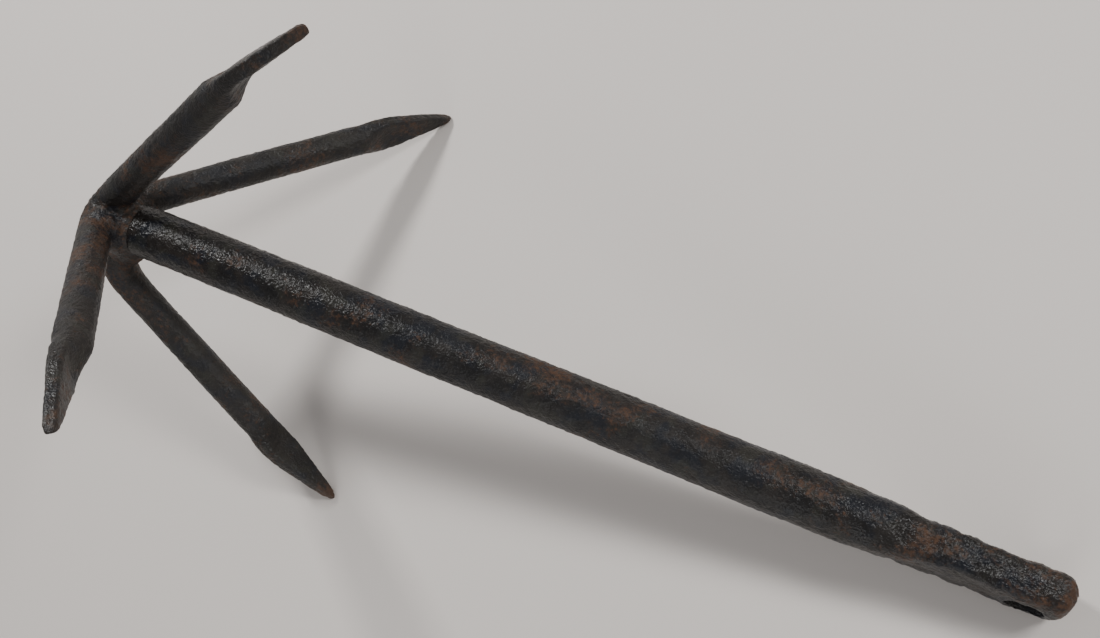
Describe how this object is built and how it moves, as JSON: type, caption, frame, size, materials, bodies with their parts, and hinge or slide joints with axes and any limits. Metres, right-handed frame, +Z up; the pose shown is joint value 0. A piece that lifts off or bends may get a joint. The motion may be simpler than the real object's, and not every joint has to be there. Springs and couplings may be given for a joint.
{
  "type": "grapnel anchor",
  "caption": "Hand-forged iron grapnel anchor: a thick round shank with a flattened rope eye, and slim bent arms with leaf-shaped flukes welded round its crown.",
  "frame": {"origin": "centre of the footprint, on the floor that the anchor lies on", "axes": "+X from the crown towards the rope eye, level; +Z up; the anchor lies at rest on two fluke tips and its eye"},
  "size_m": [0.7117, 0.338, 0.3333],
  "materials": {
    "shank_iron": "hand-forged and deeply pitted, oiled over old rust",
    "arm_iron": "hand-forged and pitted, oiled over old rust",
    "weld_iron": "lumpy forge weld, rusted"
  },
  "bodies": {
    "root": {"shank": "shank_iron", "arm_upper_left": "arm_iron", "arm_upper_right": "arm_iron", "arm_lower_left": "arm_iron", "arm_lower_right": "arm_iron", "weld_top": "weld_iron", "weld_left": "weld_iron", "weld_bottom": "weld_iron", "weld_right": "weld_iron"}
  },
  "joints": []
}
